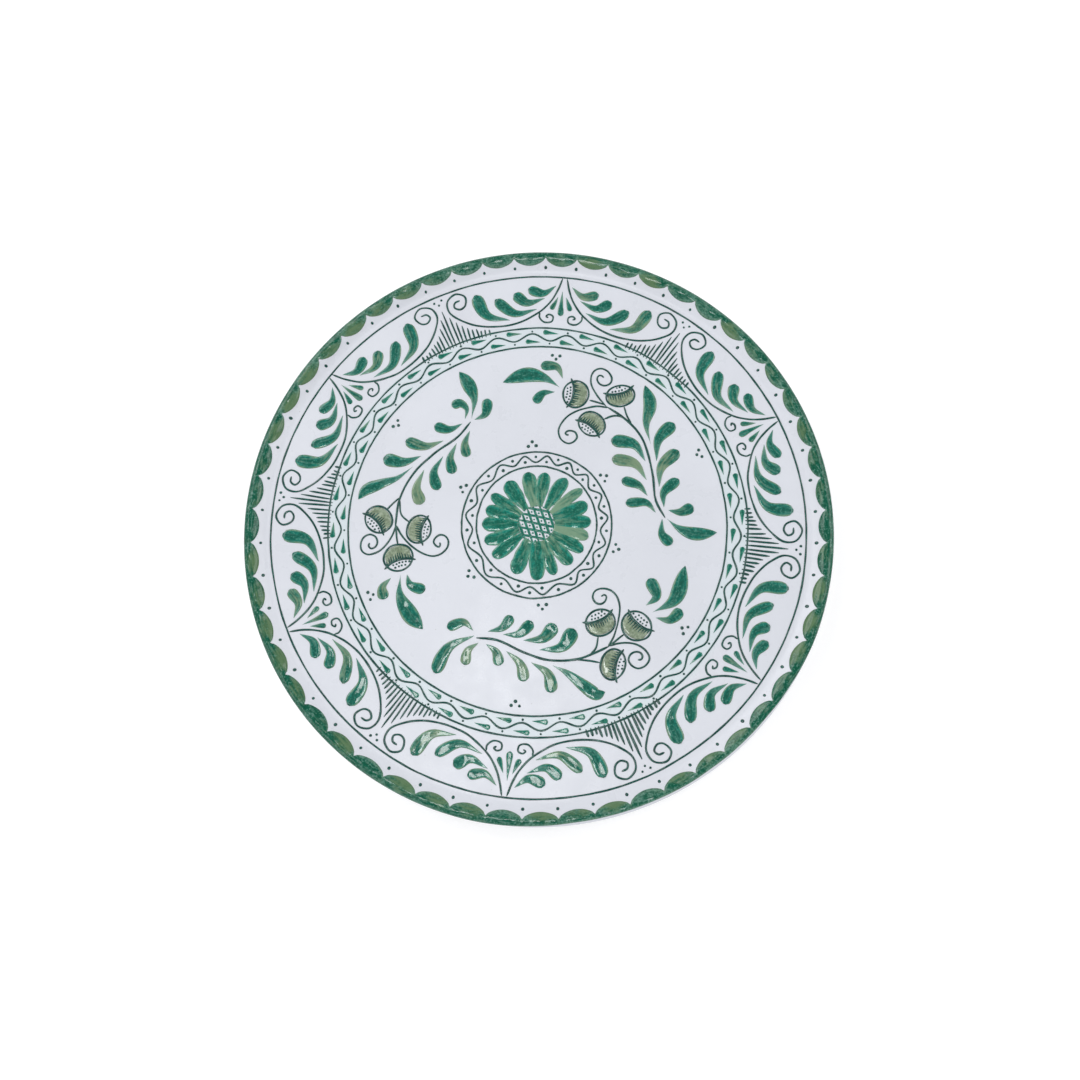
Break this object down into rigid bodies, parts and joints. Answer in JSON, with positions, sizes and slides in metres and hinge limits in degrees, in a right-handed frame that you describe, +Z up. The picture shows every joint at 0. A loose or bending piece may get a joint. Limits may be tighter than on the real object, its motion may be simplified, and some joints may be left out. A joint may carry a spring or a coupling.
{
  "type": "decorative plate",
  "caption": "Round flat ceramic plate on a foot ring, with an upturned lip and raised green enamel painting of garlands, berry branches and a central flower.",
  "frame": {"origin": "middle of the surface that the foot ring stands on", "axes": "+Z up out of the painted face, +X to the right of the painting and +Y to its top"},
  "size_m": [0.2806, 0.2806, 0.0185],
  "materials": {
    "clay": "bare fired clay, matte",
    "white_glaze": "glossy cool white glaze",
    "lip_green": "glossy mottled green enamel",
    "leaf_green": "glossy raised green enamel with brush streaks",
    "deep_green": "glossy raised deep green enamel",
    "olive_wash": "thin glossy pale olive enamel",
    "line_green": "glossy fine dark green enamel line"
  },
  "bodies": {
    "root": {"biscuit_body": "clay", "glaze_coat": "white_glaze", "foot_recess_glaze": "white_glaze", "lip_band": "lip_green", "lip_scallops": "lip_green", "scallop_dots": "line_green", "rim_line": "line_green", "rim_trio_dots": "line_green", "garland_scroll_1": "line_green", "garland_scroll_2": "line_green", "garland_scroll_3": "line_green", "garland_scroll_4": "line_green", "garland_scroll_5": "line_green", "garland_scroll_6": "line_green", "garland_leaves_1": "leaf_green", "garland_leaves_2": "leaf_green", "garland_leaves_3": "leaf_green", "garland_leaves_4": "leaf_green", "garland_leaves_5": "leaf_green", "garland_leaves_6": "leaf_green", "garland_comb_1": "line_green", "garland_comb_2": "line_green", "garland_comb_3": "line_green", "garland_comb_4": "line_green", "garland_comb_5": "line_green", "garland_comb_6": "line_green", "band_outer_line": "line_green", "band_inner_line": "line_green", "band_wave": "line_green", "band_drops": "leaf_green", "band_dots": "line_green", "well_trio_dots": "line_green", "branch_stem_1": "line_green", "branch_stem_2": "line_green", "branch_stem_3": "line_green", "branch_leaves_1": "leaf_green", "branch_leaves_2": "leaf_green", "branch_leaves_3": "leaf_green", "berry_wash_1": "olive_wash", "berry_wash_2": "olive_wash", "berry_wash_3": "olive_wash", "berry_drawing_1": "line_green", "berry_drawing_2": "line_green", "berry_drawing_3": "line_green", "medallion_outer_line": "line_green", "medallion_inner_line": "line_green", "medallion_wave": "line_green", "medallion_dots": "line_green", "medallion_trio_dots": "line_green", "flower_petals": "deep_green", "flower_lattice": "deep_green"}
  },
  "joints": []
}
